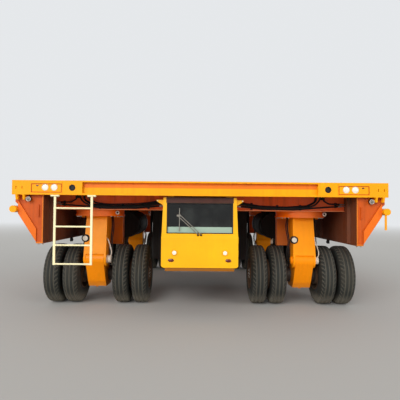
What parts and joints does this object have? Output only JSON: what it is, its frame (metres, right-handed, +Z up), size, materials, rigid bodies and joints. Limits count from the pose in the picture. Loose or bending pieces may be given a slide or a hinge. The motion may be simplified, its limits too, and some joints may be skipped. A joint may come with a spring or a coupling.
{
  "type": "self-propelled modular transporter",
  "caption": "Low self-propelled load carrier with a flat deck, a driver's cab hung in front and steerable twin-wheel bogies under it.",
  "frame": {"origin": "on the ground under the middle of the deck", "axes": "+Z up, -Y is the front where the cab hangs, +X is the vehicle's left"},
  "size_m": [6.08, 6.7, 2.17],
  "materials": {
    "tyre_rubber": "worn",
    "rim_paint": "satin",
    "knuckle_paint": "satin",
    "cylinder_steel": "satin",
    "axle_steel": "rough",
    "cab_glass": "gloss",
    "cab_paint": "gloss",
    "console_plastic": "matte",
    "seat_fabric": "woven",
    "lamp_lens": "gloss",
    "rear_lens": "gloss",
    "ladder_paint": "satin",
    "black_rubber": "matte",
    "unit_paint": "satin",
    "beam_paint": "gloss",
    "deck_steel": "worn",
    "frame_paint": "satin"
  },
  "bodies": {
    "root": {"cab_controls": "console_plastic", "cab_floor": "cab_paint", "cab_front": "cab_paint", "cab_glass": "cab_glass", "cab_lamps": "lamp_lens", "cab_rear": "cab_paint", "cab_roof": "cab_paint", "cab_sides": "cab_paint", "cable_looms": "black_rubber", "cross_ties": "frame_paint", "deck_plate": "deck_steel", "driver_seat": "seat_fabric", "front_cross_beam": "frame_paint", "front_edge_beam": "beam_paint", "front_lamps": "lamp_lens", "ladder": "ladder_paint", "lashing_lugs": "frame_paint", "long_bearers": "frame_paint", "power_pack": "unit_paint", "rear_cross_beam": "frame_paint", "rear_edge_beam": "beam_paint", "rear_lamps": "rear_lens", "side_girders": "frame_paint", "side_rails": "beam_paint", "tanks": "unit_paint", "wing_plates": "frame_paint"},
    "bogie_front_left": {"knuckle_front_left": "knuckle_paint", "swing_arm_front_left": "knuckle_paint", "lift_cylinder_front_left": "cylinder_steel", "axle_front_left": "axle_steel"},
    "wheels_front_left_outer": {"tyres_front_left_outer": "tyre_rubber", "rims_front_left_outer": "rim_paint"},
    "wheels_front_left_inner": {"tyres_front_left_inner": "tyre_rubber", "rims_front_left_inner": "rim_paint"},
    "bogie_front_right": {"knuckle_front_right": "knuckle_paint", "swing_arm_front_right": "knuckle_paint", "lift_cylinder_front_right": "cylinder_steel", "axle_front_right": "axle_steel"},
    "wheels_front_right_outer": {"tyres_front_right_outer": "tyre_rubber", "rims_front_right_outer": "rim_paint"},
    "wheels_front_right_inner": {"tyres_front_right_inner": "tyre_rubber", "rims_front_right_inner": "rim_paint"},
    "bogie_rear_left": {"knuckle_rear_left": "knuckle_paint", "swing_arm_rear_left": "knuckle_paint", "lift_cylinder_rear_left": "cylinder_steel", "axle_rear_left": "axle_steel"},
    "wheels_rear_left_outer": {"tyres_rear_left_outer": "tyre_rubber", "rims_rear_left_outer": "rim_paint"},
    "wheels_rear_left_inner": {"tyres_rear_left_inner": "tyre_rubber", "rims_rear_left_inner": "rim_paint"},
    "bogie_rear_right": {"knuckle_rear_right": "knuckle_paint", "swing_arm_rear_right": "knuckle_paint", "lift_cylinder_rear_right": "cylinder_steel", "axle_rear_right": "axle_steel"},
    "wheels_rear_right_outer": {"tyres_rear_right_outer": "tyre_rubber", "rims_rear_right_outer": "rim_paint"},
    "wheels_rear_right_inner": {"tyres_rear_right_inner": "tyre_rubber", "rims_rear_right_inner": "rim_paint"},
    "door": {"cab_door": "cab_paint", "cab_door_glass": "cab_glass"}
  },
  "joints": [
    {"name": "steer_front_left", "type": "hinge", "parent": "root", "child": "bogie_front_left", "pos_m": [1.85, -2.25, 1.65], "axis": [0, 0, 1], "range_deg": [-100, 100]},
    {"name": "roll_front_left_outer", "type": "hinge", "parent": "bogie_front_left", "child": "wheels_front_left_outer", "pos_m": [1.85, -2.14, 0.535], "axis": [1, 0, 0], "continuous": true},
    {"name": "roll_front_left_inner", "type": "hinge", "parent": "bogie_front_left", "child": "wheels_front_left_inner", "pos_m": [1.85, -2.14, 0.535], "axis": [1, 0, 0], "continuous": true},
    {"name": "steer_front_right", "type": "hinge", "parent": "root", "child": "bogie_front_right", "pos_m": [-1.85, -2.25, 1.65], "axis": [0, 0, 1], "range_deg": [-100, 100]},
    {"name": "roll_front_right_outer", "type": "hinge", "parent": "bogie_front_right", "child": "wheels_front_right_outer", "pos_m": [-1.85, -2.14, 0.535], "axis": [1, 0, 0], "continuous": true},
    {"name": "roll_front_right_inner", "type": "hinge", "parent": "bogie_front_right", "child": "wheels_front_right_inner", "pos_m": [-1.85, -2.14, 0.535], "axis": [1, 0, 0], "continuous": true},
    {"name": "steer_rear_left", "type": "hinge", "parent": "root", "child": "bogie_rear_left", "pos_m": [1.85, 2.25, 1.65], "axis": [0, 0, 1], "range_deg": [-100, 100]},
    {"name": "roll_rear_left_outer", "type": "hinge", "parent": "bogie_rear_left", "child": "wheels_rear_left_outer", "pos_m": [1.85, 2.36, 0.535], "axis": [1, 0, 0], "continuous": true},
    {"name": "roll_rear_left_inner", "type": "hinge", "parent": "bogie_rear_left", "child": "wheels_rear_left_inner", "pos_m": [1.85, 2.36, 0.535], "axis": [1, 0, 0], "continuous": true},
    {"name": "steer_rear_right", "type": "hinge", "parent": "root", "child": "bogie_rear_right", "pos_m": [-1.85, 2.25, 1.65], "axis": [0, 0, 1], "range_deg": [-100, 100]},
    {"name": "roll_rear_right_outer", "type": "hinge", "parent": "bogie_rear_right", "child": "wheels_rear_right_outer", "pos_m": [-1.85, 2.36, 0.535], "axis": [1, 0, 0], "continuous": true},
    {"name": "roll_rear_right_inner", "type": "hinge", "parent": "bogie_rear_right", "child": "wheels_rear_right_inner", "pos_m": [-1.85, 2.36, 0.535], "axis": [1, 0, 0], "continuous": true},
    {"name": "cab_door_hinge", "type": "hinge", "parent": "root", "child": "door", "pos_m": [0.624, -3.163, 1.35], "axis": [0, 0, -1], "range_deg": [0, 60]}
  ]
}
